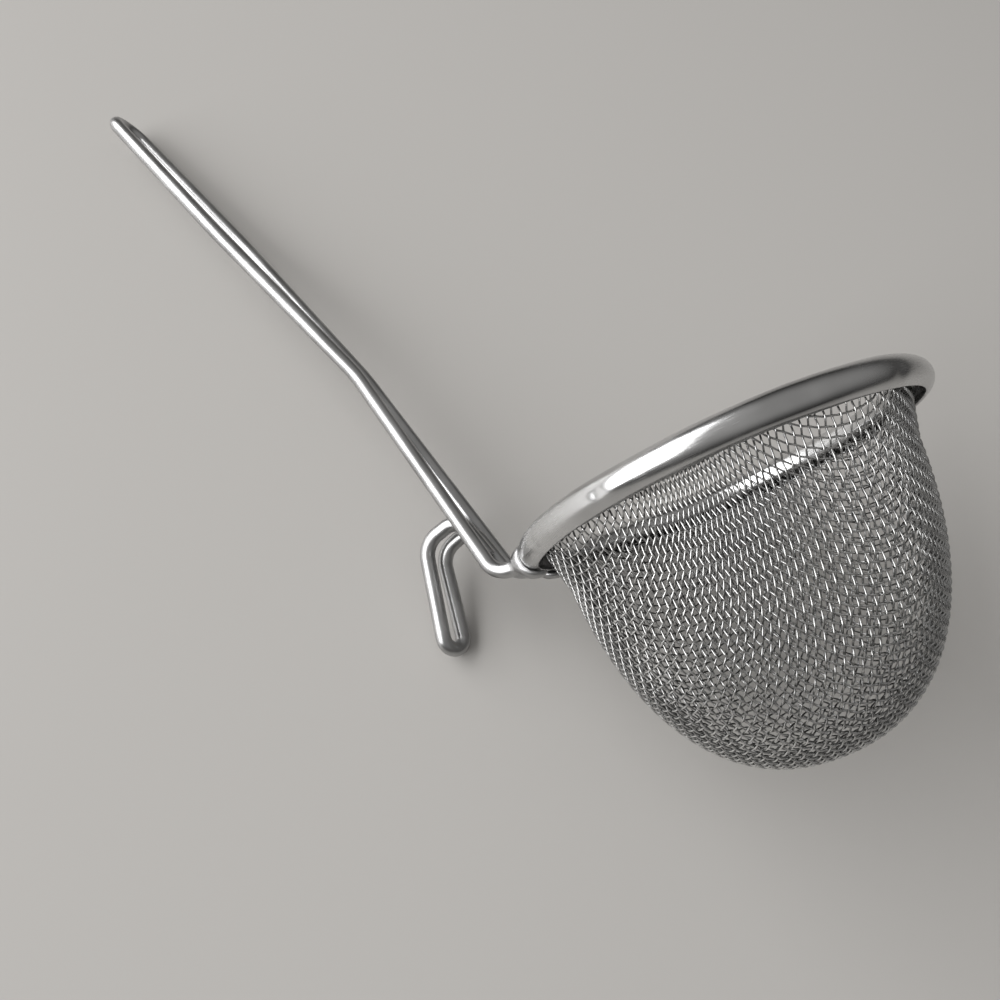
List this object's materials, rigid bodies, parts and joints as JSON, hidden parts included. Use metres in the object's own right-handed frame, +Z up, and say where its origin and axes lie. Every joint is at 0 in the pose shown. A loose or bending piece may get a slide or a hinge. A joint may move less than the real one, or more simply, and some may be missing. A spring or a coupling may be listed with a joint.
{
  "type": "tea strainer",
  "caption": "Deep round-bottomed wire-cloth strainer with a rolled steel rim, a long kinked hairpin wire handle and a wire hook that hangs it on a cup, lying on its side.",
  "frame": {"origin": "middle of the base of the bounding box, on the table that the strainer lies on", "axes": "+Z up from the table, +X along the strainer's length from the basket's bottom to the handle's end, +Y to the side that the handle leans to"},
  "size_m": [0.1926, 0.1134, 0.0772],
  "materials": {
    "rim_steel": "rolled stainless sheet, polished to a soft satin",
    "mesh_steel": "plain-woven stainless wire cloth, bright drawn wire",
    "handle_steel": "drawn stainless wire, satin polished along its length",
    "hook_steel": "drawn stainless wire, satin polished along its length"
  },
  "bodies": {
    "root": {"rim": "rim_steel", "basket": "mesh_steel", "handle": "handle_steel", "hook": "hook_steel"}
  },
  "joints": []
}
